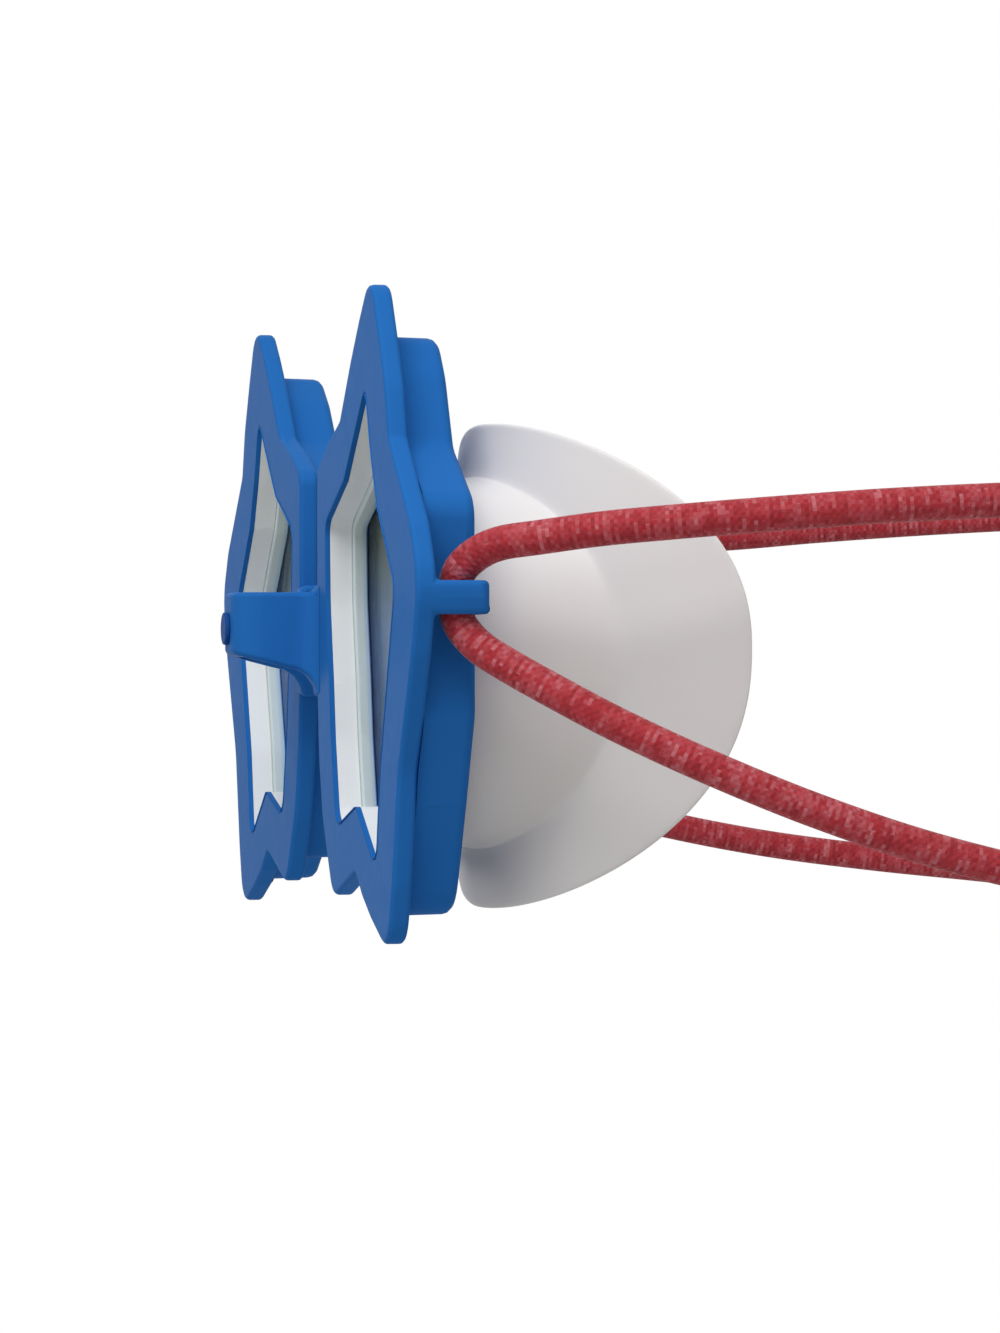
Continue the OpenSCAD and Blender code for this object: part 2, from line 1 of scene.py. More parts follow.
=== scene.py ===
# %% [markdown]
# Swimming goggles with star shaped frames.
#
# The construction is already done and packed: every part of the goggles is a solid at its real
# size. Here each part gets the surface that the eye sees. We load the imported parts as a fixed
# frame, put the camera and the cords in place, then dress one part after another, and last set
# the studio. Everything is in metres. +X is to the right as seen from the front, +Y runs back
# round the head and +Z is up.

# %% Load the frame
import math

import bpy
import numpy as np
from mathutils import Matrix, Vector


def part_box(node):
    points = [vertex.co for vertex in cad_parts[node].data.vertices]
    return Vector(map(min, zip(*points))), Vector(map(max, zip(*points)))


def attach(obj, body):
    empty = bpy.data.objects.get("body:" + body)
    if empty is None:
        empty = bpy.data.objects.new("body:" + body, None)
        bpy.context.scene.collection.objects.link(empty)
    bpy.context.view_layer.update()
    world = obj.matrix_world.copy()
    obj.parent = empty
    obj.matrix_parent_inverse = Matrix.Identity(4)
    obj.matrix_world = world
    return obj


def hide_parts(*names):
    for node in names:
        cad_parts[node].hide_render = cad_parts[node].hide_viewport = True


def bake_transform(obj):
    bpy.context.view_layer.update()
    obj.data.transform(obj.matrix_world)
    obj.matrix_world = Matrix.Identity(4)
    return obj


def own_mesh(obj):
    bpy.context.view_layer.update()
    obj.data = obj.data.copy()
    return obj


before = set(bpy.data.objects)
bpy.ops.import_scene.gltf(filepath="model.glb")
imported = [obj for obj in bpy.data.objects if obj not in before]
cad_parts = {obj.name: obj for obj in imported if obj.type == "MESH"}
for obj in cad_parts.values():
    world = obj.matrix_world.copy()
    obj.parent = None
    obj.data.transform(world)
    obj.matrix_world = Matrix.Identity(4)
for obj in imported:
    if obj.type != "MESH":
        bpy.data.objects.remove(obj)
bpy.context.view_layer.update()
MM = 0.001
SIDES = {"right": 1, "left": -1}

# %% [markdown]
# The camera stands level with the eyes, nearly at the wearer's side and a little in front, so
# that the two stars are seen almost edge on and the eye cup in full. A long lens keeps the far
# star only a little smaller than the near one. We give the camera a place and a direction, and
# let a tracking quaternion turn the direction into its rotation.

# %% Camera
camera_place = Vector((0.5377, -0.1068, -0.00624))
camera_way = Vector((-0.97652, 0.21542, 0))
camera_lens = 119.67

bpy.ops.object.camera_add(
    location=camera_place, rotation=camera_way.to_track_quat("-Z", "Y").to_euler()
)
camera = bpy.context.object
camera.data.lens = camera_lens
camera.data.clip_start = 0.02
bpy.context.scene.camera = camera
print("camera distance to the origin:", round(camera_place.length, 3), "m")

# %% [markdown]
# A few helpers serve every piece. Blender's operators act on what is selected, so one helper
# clears the selection and makes a single object active. Another opens edit mode with the whole
# mesh selected, runs the steps it is given and closes it again. A third applies modifiers, so
# that a finished piece is plain mesh. The last one shades a piece smoothly, except at sharp edges.


# %% Helpers for selecting, editing and applying
def only(piece):
    """Selects one object alone and makes it the active one."""
    bpy.ops.object.select_all(action="DESELECT")
    piece.select_set(True)
    bpy.context.view_layer.objects.active = piece


def edit(piece, *steps):
    """Runs steps in edit mode with the whole mesh selected."""
    only(piece)
    bpy.ops.object.mode_set(mode="EDIT")
    for step in steps:
        bpy.ops.mesh.select_all(action="SELECT")
        step()
    bpy.ops.object.mode_set(mode="OBJECT")
    return piece


def modify(piece, kind, **settings):
    """Adds one modifier with these settings and applies it."""
    only(piece)
    modifier = piece.modifiers.new(kind.title(), kind)
    for key, value in settings.items():
        setattr(modifier, key, value)
    bpy.ops.object.modifier_apply(modifier=modifier.name)


def shade(piece, angle):
    """Smooth shading with sharp edges past an angle in degrees."""
    only(piece)
    bpy.ops.object.shade_smooth_by_angle(angle=math.radians(angle))


# %% [markdown]
# Round soft things, such as the cord and the eye cup, are skins over a row of rings. A grid is
# the plain start for such a skin: it already has rows, columns and a neat UV map. Each of its
# points is moved to its place on a ring, and the two edges that meet are merged, just as a sheet
# of paper is rolled into a tube.


# %% A grid rolled over rings
merge_gap = 0.002 * MM


def rolled_grid(name, rings, capped=False):
    """A skin over rings of equal count. U goes round each ring and V from ring to ring."""
    around, along = len(rings[0]), len(rings)
    bpy.ops.object.select_all(action="DESELECT")
    bpy.ops.mesh.primitive_grid_add(x_subdivisions=around, y_subdivisions=along - 1, size=1)
    piece = bpy.context.object
    piece.name = name
    points = np.concatenate([rings, rings[:, :1]], axis=1)
    piece.data.vertices.foreach_set("co", points.astype(np.float32).ravel())
    steps = [lambda: bpy.ops.mesh.remove_doubles(threshold=merge_gap)]
    if capped:
        steps += [lambda: bpy.ops.mesh.fill_holes(sides=0)]
    steps += [lambda: bpy.ops.mesh.normals_make_consistent(inside=False)]
    return edit(piece, *steps)


# %% [markdown]
# The strap is one round elastic cord, 3.8 mm thick. It goes up through an eyelet, round the back
# of the head, down through the other eyelet and back again, and its two ends pass through the
# cord lock and end in beads. Its route is a list of points, the same that the packed cord
# follows, in millimetres on the +X half. The other half is its mirror image.

# %% Routes of the cord
cord_d = 3.8 * MM
upper_side = [
    (63.25, -7.1, 1.45), (63.25, -7.1, 2.6), (63.7, -6.65, 4.4), (64.8, -5, 6.1),
    (66.3, -2.7, 7.2), (68.5, 1.1, 7.8), (71.7, 7.5, 8.7), (74.8, 15, 9.4), (77.2, 24.5, 10.2),
    (78.9, 36.5, 11.1), (79.3, 49, 11.8), (78.6, 62, 12.3), (76.6, 76, 13.5), (73, 90, 14.5),
    (67.5, 105, 15.3), (60.5, 120, 16), (51, 135, 16.7), (39, 148.5, 17.3), (26, 158, 17.7),
    (12.5, 163, 17.9)]
upper_middle = [(0, 164.5, 18)]
lower_side = [
    (63.25, -7.1, 1.45), (63.25, -7.1, 0.3), (63.6, -6.7, -1.6), (64.7, -5.1, -3.8),
    (66.3, -2.8, -5.6), (69, 2, -8.6), (72.4, 9, -12.6), (75.7, 18, -17), (78, 29, -21.6),
    (79.2, 41, -25.7), (79.2, 54, -29), (77.9, 68.5, -31.8), (75, 83.5, -33.8),
    (70.8, 98, -35.3)]
right_back = [
    (64, 113, -36), (56, 128, -36.2), (46, 141.5, -36), (34, 153, -35.6), (23, 160.7, -35),
    (14, 163.7, -34.65), (7, 164, -34.6), (-7, 164, -34.6), (-14, 164, -34.6)]
right_tail = [
    (-18, 164.5, -34.9), (-21.6, 166.3, -37), (-23.6, 168.4, -41), (-24.2, 169.8, -47),
    (-24.2, 170.3, -56), (-24.2, 170.3, -66)]
left_back = [
    (64, 113, -36.9), (56, 128, -38), (46, 141.5, -38.9), (34, 153, -39.7), (23, 160.7, -40.2),
    (14, 163.7, -40.4), (7, 164, -40.4), (-7, 164, -40.4), (-14, 164, -40.4)]
left_tail = [
    (-18, 164.4, -41.2), (-21.4, 165.6, -44), (-23, 166.8, -49), (-23.4, 167.3, -57),
    (-23.4, 167.3, -68)]


def mirrored(points):
    """The same points on the other half."""
    return [(-x, y, z) for x, y, z in points]


print("points beside the head, upper and lower:", len(upper_side), len(lower_side))

# %% [markdown]
# A cord bends in smooth curves, so its middle line is a spline through the points of the route,
# cut into short even steps. Round each step lies a ring. The ring's first point is carried along
# the line without twist, as the yarns of a real cover run straight along their cord.


# %% From a route to rings
ring_step = 0.6 * MM
cord_around = 32
parts_between = 24


def spline(points):
    """Even steps along a smooth line through the points of a route, in metres."""
    route = np.array(points, float) * MM
    ends = np.vstack([2 * route[0] - route[1], route, 2 * route[-1] - route[-2]])
    line = []
    for i in range(len(route) - 1):
        a, b, c, d = ends[i : i + 4]
        for t in np.linspace(0, 1, parts_between, endpoint=False):
            line.append(
                0.5 * (2 * b + (c - a) * t + (2 * a - 5 * b + 4 * c - d) * t**2
                       + (3 * b - a - 3 * c + d) * t**3))
    line = np.array(line + [route[-1]])
    run = np.concatenate([[0], np.cumsum(np.linalg.norm(np.diff(line, axis=0), axis=1))])
    steps = np.linspace(0, run[-1], int(run[-1] / ring_step) + 1)
    return np.stack([np.interp(steps, run, line[:, k]) for k in range(3)], axis=1)


def rings_on(line, radius, around):
    """A ring round each point of a line, without twist from one to the next."""
    ways = np.gradient(line, axis=0)
    ways /= np.linalg.norm(ways, axis=1)[:, None]
    side = np.array([0.0, 1.0, 0.0])
    angles = np.linspace(0, 2 * math.pi, around, endpoint=False)[:, None]
    rings = []
    for place, way in zip(line, ways):
        side = side - side.dot(way) * way
        side /= np.linalg.norm(side)
        across = np.cross(way, side)
        rings.append(place + radius * (np.cos(angles) * side + np.sin(angles) * across))
    return np.array(rings)


def run_of(line):
    """Length of a line."""
    return float(np.linalg.norm(np.diff(line, axis=0), axis=1).sum())


# %% [markdown]
# The upper cord crosses from one half of the goggles to the other. When the halves fold, the cord
# near each eyelet has to go with its own half. So it is cut in two on the left side of the head:
# the long piece belongs to the right half, and the short one is a piece of its own. The weave must
# not jump where they meet, so both come from the same rings, and V counts millimetres from the
# right eyelet on.


# %% Cord pieces
def cord_piece(name, rings, first_mm):
    """A cord cover over rings, with U once round and V in millimetres along."""
    piece = rolled_grid(name, rings, capped=True)
    long_mm = run_of(rings.mean(axis=1)) / MM
    uvs = piece.data.uv_layers[0].data
    flat = np.zeros(len(uvs) * 2, np.float32)
    uvs.foreach_get("uv", flat)
    flat[1::2] = first_mm + flat[1::2] * long_mm
    uvs.foreach_set("uv", flat)
    for face in piece.data.polygons:
        face.use_smooth = len(face.vertices) == 4
    return piece


upper_line = spline(upper_side + upper_middle + mirrored(upper_side)[::-1])
lower_right_line = spline(lower_side + right_back + right_tail)
lower_left_line = spline(mirrored(lower_side + left_back + left_tail))
upper_rings = rings_on(upper_line, cord_d / 2, cord_around)
lower_right_rings = rings_on(lower_right_line, cord_d / 2, cord_around)
lower_left_rings = rings_on(lower_left_line, cord_d / 2, cord_around)
cut_behind = 0.12
cut = int(np.flatnonzero((upper_line[:, 0] < 0) & (upper_line[:, 1] < cut_behind))[0])
upper_long = cord_piece("cord_upper_long", upper_rings[: cut + 1], 0)
upper_short = cord_piece("cord_upper_short", upper_rings[cut:], run_of(upper_line[: cut + 1]) / MM)
lower_right = cord_piece("cord_lower_right", lower_right_rings, 0)
lower_left = cord_piece("cord_lower_left", lower_left_rings, 0)
print("cord lengths:", [round(run_of(line), 4) for line in (
    upper_line[: cut + 1], upper_line[cut:], lower_right_line, lower_left_line)])

# %% [markdown]
# Moulded plastic and silicone never have knife edges: the mould's corners are slightly round, and
# that thin round is what catches the light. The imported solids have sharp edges, so each hard part
# is a copy of its solid. Its loose triangles are merged, and flat areas are dissolved into whole
# faces. A Bevel modifier rounds what is sharper than an angle, Triangulate splits what still has
# many corners, and weighted normals keep the flat faces flat. A flat face that goes all round a
# window can come out of that with a stray triangle across the hole, so such parts are first cut
# in quarters. The copy is the same size as its solid, so it takes that solid's place.


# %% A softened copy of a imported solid
flat_within = math.radians(0.2)


def softened(node, edge, segments=3, angle=40, cuts=()):
    """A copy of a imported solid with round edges, in millimetres, that stands for it.

    Each cut is a plane, given by a point in metres and a direction, that splits flat faces.
    """
    piece = bpy.data.objects.new(node + "_finished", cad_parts[node].data.copy())
    bpy.context.scene.collection.objects.link(piece)
    piece.data.materials.clear()
    steps = [lambda: bpy.ops.mesh.remove_doubles(threshold=merge_gap)]
    if edge:
        steps.append(lambda: bpy.ops.mesh.dissolve_limited(angle_limit=flat_within))
    for place, normal in cuts:
        steps.append(lambda p=place, n=normal: bpy.ops.mesh.bisect(plane_co=p, plane_no=n))
    edit(piece, *steps)
    if edge:
        modify(piece, "BEVEL", width=edge * MM, segments=segments, limit_method="ANGLE",
               angle_limit=math.radians(angle), use_clamp_overlap=False)
        modify(piece, "TRIANGULATE", min_vertices=5, ngon_method="BEAUTY")
    shade(piece, angle)
    modify(piece, "WEIGHTED_NORMAL", keep_sharp=True)
    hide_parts(node)
    return piece


def dress(piece, finish):
    """Gives a piece its material."""
    piece.data.materials.clear()
    piece.data.materials.append(finish)


# %% [markdown]
# Every finish is a small node tree round one Principled shader. Plain numbers go straight on the
# shader's sockets. Only what varies over the surface, such as grain, weave or a slight change of
# colour, comes from nodes. The patterns read Object coordinates, in metres, so that they stay put
# on their part. A short helper adds a node with its settings, and colours are written as the eye
# reads them and turned into the linear values that the shader wants.


# %% Helpers for finishes
def linear(code):
    """A colour written as six hex digits, in the shader's linear values."""
    parts = [int(code[i : i + 2], 16) / 255 for i in (0, 2, 4)]
    return (*[p / 12.92 if p <= 0.04045 else ((p + 0.055) / 1.055) ** 2.4 for p in parts], 1)


class Finish:
    """A material with a few short ways to add and join nodes."""

    def __init__(self, name, colour, **sockets):
        self.material = bpy.data.materials.new(name)
        self.material.use_nodes = True
        self.tree = self.material.node_tree
        self.shader = self.tree.nodes["Principled BSDF"]
        self.colour = linear(colour)
        self.shader.inputs["Base Color"].default_value = self.colour
        for key, value in sockets.items():
            self.shader.inputs[key.replace("_", " ")].default_value = value
        self.place = self.add("ShaderNodeTexCoord")

    def add(self, kind, values=(), **settings):
        """A node with its settings, and a number or a link on each socket that is named."""
        node = self.tree.nodes.new(kind)
        for key, value in settings.items():
            setattr(node, key, value)
        for key, value in dict(values).items():
            if isinstance(value, bpy.types.NodeSocket):
                self.tree.links.new(value, node.inputs[key])
            else:
                node.inputs[key].default_value = value
        return node

    def math(self, operation, a, b=0.0):
        """One step of arithmetic."""
        return self.add("ShaderNodeMath", {0: a, 1: b}, operation=operation).outputs[0]

    def noise(self, per_metre, detail=2.0, rough=0.5):
        """Cloudy noise on the part's own coordinates."""
        values = {"Vector": self.place.outputs["Object"], "Scale": per_metre, "Detail": detail,
                  "Roughness": rough}
        return self.add("ShaderNodeTexNoise", values).outputs["Fac"]

    def between(self, factor, low, high):
        """A number that goes from low to high with a factor from 0 to 1."""
        values = {"Value": factor, "To Min": low, "To Max": high}
        return self.add("ShaderNodeMapRange", values).outputs["Result"]

    def mixed(self, factor, a, b, blend="MIX"):
        """Two colours mixed by a factor."""
        node = self.tree.nodes.new("ShaderNodeMix")
        node.data_type = "RGBA"
        node.blend_type = blend
        for socket, value in ((node.inputs[0], factor), (node.inputs[6], a), (node.inputs[7], b)):
            if isinstance(value, bpy.types.NodeSocket):
                self.tree.links.new(value, socket)
            else:
                socket.default_value = value
        return node.outputs[2]

    def bump(self, height, strength, distance):
        """Small relief in the shading, with a depth in metres."""
        node = self.add("ShaderNodeBump", {"Height": height, "Strength": strength,
                                           "Distance": distance})
        self.tree.links.new(node.outputs["Normal"], self.shader.inputs["Normal"])

    def feed(self, socket, value):
        """Joins a value to one of the shader's sockets."""
        self.tree.links.new(value, self.shader.inputs[socket])

    def fade(self, axis, start, end, first, then=None):
        """Base colour that goes from a first colour to another between two places on an axis, to
        paint light and shade.
        """
        axes = self.add("ShaderNodeSeparateXYZ", {0: self.place.outputs["Object"]})
        values = {"Value": axes.outputs[axis], "From Min": start, "From Max": end}
        share = self.add("ShaderNodeMapRange", values).outputs["Result"]
        self.feed("Base Color", self.mixed(share, first, then or self.colour))


# %% [markdown]
# The frames, the housings, the bridge and the eyelets are satin blue silicone rubber. Its colour
# is even but never quite flat: a slow cloud makes it a touch lighter or darker, and a fine grain
# from the mould breaks up the shine. The same recipe with other numbers makes the glossy plastic
# of the cord lock and the beads.


# %% Moulded finishes
def moulded(name, colour, lighter, rough, grain, shine=0.5, coat=0.0):
    """An even moulded surface with a slow change of colour and a fine grain."""
    finish = Finish(name, colour, Coat_Weight=coat, Coat_Roughness=0.12, Specular_IOR_Level=shine)
    cloud = finish.between(finish.noise(55, 3.0), 0.0, 1.0)
    finish.feed("Base Color", finish.mixed(cloud, finish.colour, linear(lighter)))
    finish.feed("Roughness", finish.between(finish.noise(420, 2.0), rough - 0.05, rough + 0.05))
    finish.bump(finish.noise(2600, 3.0, 0.6), grain, 0.02 * MM)
    return finish.material


blue_silicone = moulded("blue_silicone_satin", "2469B5", "286DB8", 0.42, 0.35, shine=0.01)
blue_pad = moulded("blue_pad_satin", "1A4A8E", "1E5094", 0.42, 0.35, shine=0.01)
dark_plastic = moulded("dark_blue_plastic", "173F80", "1B468A", 0.26, 0.15, coat=0.4)
print("moulded:", [made.name for made in (blue_silicone, blue_pad, dark_plastic)])

# %% [markdown]
# The liner in each window is opaque white silicone, and the seal behind it is a greyer, slightly
# green rubber. Its rear edge is painted pale blue, a painted highlight for the lit edge of the
# lens.
# The eye cups are a frosted translucent silicone: light goes a few millimetres into it before it
# comes out again.
# Subsurface scattering gives just that glow at the thin edges. The cups are painted greyer towards
# their foot, a painted shade for the light that comes from above.


# %% Soft finishes
def soft(name, colour, shade_colour, rough, depth, weight, grain, fade=None):
    """A translucent or rubbery surface that light enters, with a second colour at one end that
    paints light and shade.
    """
    finish = Finish(name, colour, Subsurface_Weight=weight, Subsurface_Scale=depth * MM,
                    Subsurface_Radius=(1.0, 1.0, 1.0))
    cloud = finish.between(finish.noise(40, 2.0), 0.0, 1.0)
    colour_now = finish.mixed(cloud, finish.colour, linear(shade_colour))
    finish.feed("Base Color", colour_now)
    if fade:
        axis, start, end, code = fade
        finish.fade(axis, start * MM, end * MM, linear(code), colour_now)
    finish.feed("Roughness", finish.between(finish.noise(300, 2.0), rough - 0.04, rough + 0.04))
    finish.bump(finish.noise(1800, 3.0, 0.6), grain, 0.02 * MM)
    return finish.material


white_liner = soft("white_liner_silicone", "FAFCFC", "F5F8F8", 0.4, 0.8, 0.3, 0.2)
# Behind Y -7.85 mm the seal is painted pale blue, a painted highlight of the lens's lit edge. In
# front of Y -7.95 mm it keeps its own grey-green D2DEDF.
grey_seal = soft("grey_seal_rubber", "BED4E6", "B8CFE2", 0.45, 0.4, 0.1, 0.25,
                 fade=("Y", -7.95, -7.85, "D2DEDF"))
# From Z 20 mm down to Z -36 mm the cup's colour goes over to the darker D0CDCB: painted shade for
# the light from above.
soft_gasket = soft("frosted_gasket_silicone", "EFECEB", "EBE8E7", 0.36, 2.0, 0.35, 0.12,
                   fade=("Z", -36, 20, "D0CDCB"))
print("soft:", [made.name for made in (white_liner, grey_seal, soft_gasket)])

# %% [markdown]
# The lens is hard clear plastic with a light smoke tint. Its lower half is painted a cool blue, a
# painted reflection of the blue housing. Seen nearly edge on, real glass would mirror the white
# studio too strongly, so it bends light only a little. Part of the light passes straight through,
# also on its way to the soft flange behind the lens, which would stay black otherwise. A faint
# ripple is all its relief.

# %% Lens
lens_finish = Finish("smoke_lens", "70887F", Roughness=0.03, IOR=1.08,
                     Transmission_Weight=1.0, Alpha=0.62)
# From Z 8 mm down to Z -2 mm the tint goes over to the blue 74A6DE: painted reflection of the blue
# housing.
painted_reflection_up_to, smoke_from = -2 * MM, 8 * MM
lens_finish.fade("Z", painted_reflection_up_to, smoke_from, linear("74A6DE"))
lens_finish.bump(lens_finish.noise(30, 1.0), 0.03, 0.03 * MM)
lens_material = lens_finish.material
print("lens:", lens_material.name)

# %% [markdown]
# The spring in the cord lock is drawn steel wire. Drawing leaves fine lines along the wire, here a
# stretched noise, and a metal shader gives the bright finish.

# %% Spring steel
steel_finish = Finish("spring_wire_steel", "C9CBCD", Metallic=1.0)
wire_lines = steel_finish.noise(900, 4.0, 0.7)
steel_finish.feed("Roughness", steel_finish.between(wire_lines, 0.22, 0.4))
steel_finish.bump(wire_lines, 0.2, 0.01 * MM)
spring_steel = steel_finish.material
print("spring:", spring_steel.name)

# %% [markdown]
# The cover of the cord is a plain weave of melange yarn: deep red, brick red and pink fibres are
# spun together, so single stitches come out lighter or darker. Most of what shows are short pink
# bars that run round the cord, and some that run along it. The material cuts the UV map into small
# cells, gives each cell a random number with White Noise, and a colour ramp turns the numbers into
# yarn colours. Large soft clouds make some stretches redder. The relief is the over and under of
# the yarns themselves.


# %% Woven cover
def woven():
    """Melange weave on UV: U once round the cord, V in millimetres along it."""
    finish = Finish("red_melange_weave", "B5202C", Sheen_Weight=0.25, Sheen_Roughness=0.4,
                    Roughness=0.82)
    parts = finish.add("ShaderNodeSeparateXYZ", {0: finish.place.outputs["UV"]})
    round_it, along = parts.outputs[0], parts.outputs[1]
    stitch_mm, stitches_round, hoops_round, end_mm = 0.42, 24, 6, 2.4
    row_turn, warp_share, stitch_relief = 0.618, 0.65, 0.8

    def cells(across_count, long_mm, seed, brick):
        """A random number in each cell of a grid. With brick at 1 each row is shifted."""
        row = finish.math("FLOOR", finish.math("DIVIDE", along, long_mm))
        turns = finish.math("MULTIPLY", row, row_turn)
        shift = finish.math("MULTIPLY", finish.math("FRACT", turns), brick)
        column = finish.math("MULTIPLY", round_it, across_count)
        column = finish.math("FLOOR", finish.math("ADD", column, shift))
        column = finish.math("MODULO", column, across_count)
        spot = finish.add("ShaderNodeCombineXYZ", {0: column, 1: row, 2: seed})
        return finish.add("ShaderNodeTexWhiteNoise", {"Vector": spot.outputs[0]}).outputs["Value"]

    def ramp(factor, stops):
        """Colours along a factor from 0 to 1."""
        node = finish.add("ShaderNodeValToRGB", {"Fac": factor})
        node.color_ramp.interpolation = "LINEAR"
        node.color_ramp.elements[0].position = stops[0][0]
        node.color_ramp.elements[0].color = linear(stops[0][1])
        node.color_ramp.elements[1].position = stops[-1][0]
        node.color_ramp.elements[1].color = linear(stops[-1][1])
        for position, code in stops[1:-1]:
            node.color_ramp.elements.new(position).color = linear(code)
        return node.outputs["Color"]

    hoops = cells(hoops_round, stitch_mm, 1.0, 1.0)
    ends = cells(stitches_round, end_mm, 5.0, 0.0)
    stitches = cells(stitches_round, stitch_mm, 9.0, 0.0)
    yarn = ramp(hoops, [(0.0, "9C1724"), (0.35, "AE2530"), (0.7, "BC4852"), (1.0, "CA6A72")])
    warp = ramp(ends, [(0.0, "980F1E"), (0.5, "B01A27"), (1.0, "BC3A45")])
    stretch = finish.add("ShaderNodeMapping", {"Vector": finish.place.outputs["UV"],
                                               "Scale": (2.0, 0.16, 1.0)})
    cloud = finish.add("ShaderNodeTexNoise", {"Vector": stretch.outputs[0], "Scale": 1.0,
                                              "Detail": 2.0}).outputs["Fac"]
    contrast = finish.math("ADD", finish.math("MULTIPLY", cloud, 3.0), -1.0)
    patch = finish.between(contrast, 0.1, 0.85)
    over = finish.math("GREATER_THAN", stitches, patch)
    colour = finish.mixed(finish.math("MULTIPLY", over, warp_share), yarn, warp)
    wave_a = finish.math("SINE", finish.math("MULTIPLY", along, math.pi / stitch_mm))
    wave_b = finish.math("SINE", finish.math("MULTIPLY", round_it, math.pi * stitches_round))
    relief = finish.math("ADD", finish.math("MULTIPLY", wave_a, wave_b),
                         finish.math("MULTIPLY", stitches, stitch_relief))
    # The relief also scales the colour. Where the yarns dip it is darker and on the crests a touch
    # lighter: painted shade and highlight of the weave. The random stitch numbers in it add a real
    # change of tone.
    values = {"Value": relief, "From Min": -1.0, "From Max": 1.8, "To Min": 0.75, "To Max": 1.05}
    bright = finish.add("ShaderNodeMapRange", values).outputs["Result"]
    grey = finish.add("ShaderNodeCombineColor", {0: bright, 1: bright, 2: bright})
    finish.feed("Base Color", finish.mixed(1.0, colour, grey.outputs[0], "MULTIPLY"))
    finish.bump(relief, 0.55, 0.06 * MM)
    return finish.material


red_weave = woven()
print("weave:", red_weave.name, "nodes:", len(red_weave.node_tree.nodes))

# %% [markdown]
# Now the hard parts get their softened copies. The round of an edge differs from part to part: the
# star plates are thick and soft, the liner and the seal are thin. The housing brings its own round
# edges. The two groups of snap pins sit out of sight inside the plates, so they stay as they are
# and only get the plastic finish.

# %% Plates, housings, liners, seals and lenses
hard_parts = [
    ("star_frame", 0.55, blue_silicone, "blue_silicone"),
    ("rear_housing", 0.0, blue_silicone, "blue_silicone"),
    ("window_liner", 0.2, white_liner, "white_liner"),
    ("lens_seal", 0.25, grey_seal, "grey_seal"),
    ("lens", 0.12, lens_material, "lens"),
]
window_x, window_z = 33.3 * MM, -1.6 * MM
for side, way in SIDES.items():
    window_middle = (window_x * way, 0, window_z)
    quarters = [(window_middle, (1, 0, 0)), (window_middle, (0, 0, 1))]
    for part, edge, finish, slot in hard_parts:
        piece = softened(f"{side}_{part}", edge, cuts=quarters if edge else ())
        dress(piece, finish)
        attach(piece, f"{side}_half")
    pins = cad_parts[f"{side}_snap_pins"]
    pins.material_slots[0].material = dark_plastic
print("hard parts:", len(hard_parts) * len(SIDES))

# %% [markdown]
# The eye cup starts as an oval collar behind the lens, flares to a neck and turns out into a broad
# thin flange that lies on the face. The face is round, so the flange is not flat: its surface
# turns back towards the temple along a parabola. Each ring of the skin is an oval between a circle
# and a rectangle. The rim is a little egg shaped: its lower part is longer than its upper part,
# and it is fuller on the temple side. Rings between the neck and the rim are mixed from the two,
# and the depth of each point comes from the parabola. All these measures are in millimetres.

# %% Shape of the eye cup
cup_middle = (37.75, -5.8)
neck_size = (35.4, 42.8)
collar_size = (34.0, 41.4)
cup_wall = 1.4
rim_middle = (38.45, -4.2)
rim_w, rim_up, rim_down = 50.4, 25.9, 29.85
rim_t = 0.6
neck_t = 1.2
face_depth = 12.35
housing_end = 8.4
clamp_end = 7.3
skin_start = clamp_end - 0.1
seal_depth = 13.15
seal_middle = 32.95
temple_bend = 18.2
nasal_bend = 33.0
cup_around = 128
print("collar, neck and rim, mm:", collar_size, neck_size, (rim_w, rim_up + rim_down))


# %% [markdown]
# An oval is drawn with cosine and sine, each raised to a power. A power of two gives an ellipse,
# and a higher one fills its corners out. The same short functions give the depth of the surface
# on the face and a ring at one depth.


# %% Rings of the eye cup
def oval(middle, width, up, down, temple_power=2.2, nose_power=2.2):
    """An oval in X and Z, in millimetres, that reaches up and down by its own amount."""
    angles = np.linspace(0, 2 * math.pi, cup_around, endpoint=False)
    power = 2 / np.where(np.cos(angles) > 0, temple_power, nose_power)
    across, rise = (np.sign(w) * np.abs(w) ** power for w in (np.cos(angles), np.sin(angles)))
    rise = rise * np.where(rise > 0, up, down)
    return np.stack([middle[0] + across * width / 2, middle[1] + rise], axis=1)


def seal_y(x):
    """Y of the surface that lies on the face."""
    bend = np.where(x > seal_middle, temple_bend, nasal_bend)
    return seal_depth - face_depth + (x - seal_middle) ** 2 / 2 / bend


def level(outline, depth):
    """A ring at one depth behind the plates' front."""
    back = np.full(len(outline), depth - face_depth)
    return np.stack([outline[:, 0], back, outline[:, 1]], axis=1)


def cup_oval(size, step=0.0):
    """An oval of the cup, made smaller by a step on each side."""
    return oval(cup_middle, size[0] - 2 * step, size[1] / 2 - step, size[1] / 2 - step)


collar = cup_oval(collar_size)
collar_in = cup_oval(collar_size, cup_wall)
neck = cup_oval(neck_size)
neck_in = cup_oval(neck_size, cup_wall)
rim = oval(rim_middle, rim_w, rim_up, rim_down, 2.3, 1.9)


def rising(a, b, t):
    """A ring of the cup's wall, on its way from the housing to the seal surface."""
    flat = a * (1 - t) + b * t
    low = housing_end - face_depth
    high = seal_y(b[:, 0]) - neck_t
    return np.stack([flat[:, 0], low * (1 - t) + high * t, flat[:, 1]], axis=1)


def lying(t, lift):
    """A ring of the flange, lifted off the face towards the front."""
    flat = neck * (1 - t) + rim * t
    return np.stack([flat[:, 0], seal_y(flat[:, 0]) - lift, flat[:, 1]], axis=1)


